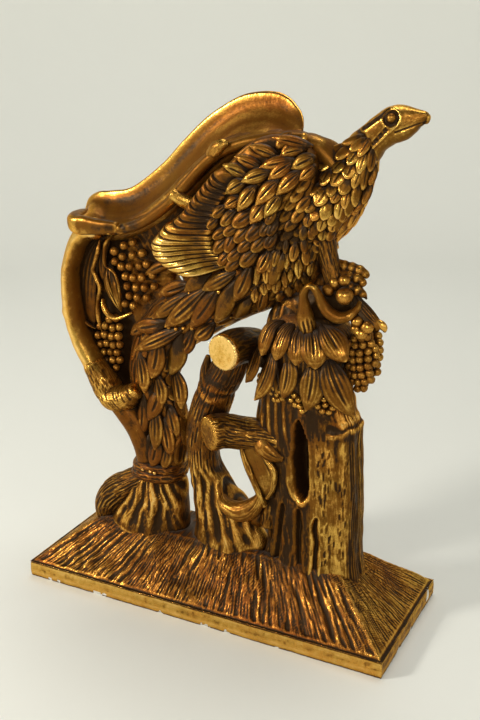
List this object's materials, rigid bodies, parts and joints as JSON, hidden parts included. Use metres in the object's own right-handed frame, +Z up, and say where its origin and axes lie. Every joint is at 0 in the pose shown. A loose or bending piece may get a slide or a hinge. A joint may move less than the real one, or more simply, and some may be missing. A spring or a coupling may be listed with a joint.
{
  "type": "gilded eagle carving",
  "caption": "Free-standing gilded wood carving of an eagle with a raised scroll behind its wing, above a grapevine stump on a hipped rectangular base.",
  "frame": {"origin": "middle of the flat underside of the base", "axes": "+Z up, +X the way the eagle looks along the base's length, -Y towards the carved front"},
  "size_m": [0.64, 0.245, 0.809],
  "materials": {
    "gilded_wood": "carved wood under gesso and old gold leaf, burnished on the high parts and dark brown in the recesses"
  },
  "bodies": {
    "root": {"eagle_carving": "gilded_wood"}
  },
  "joints": []
}
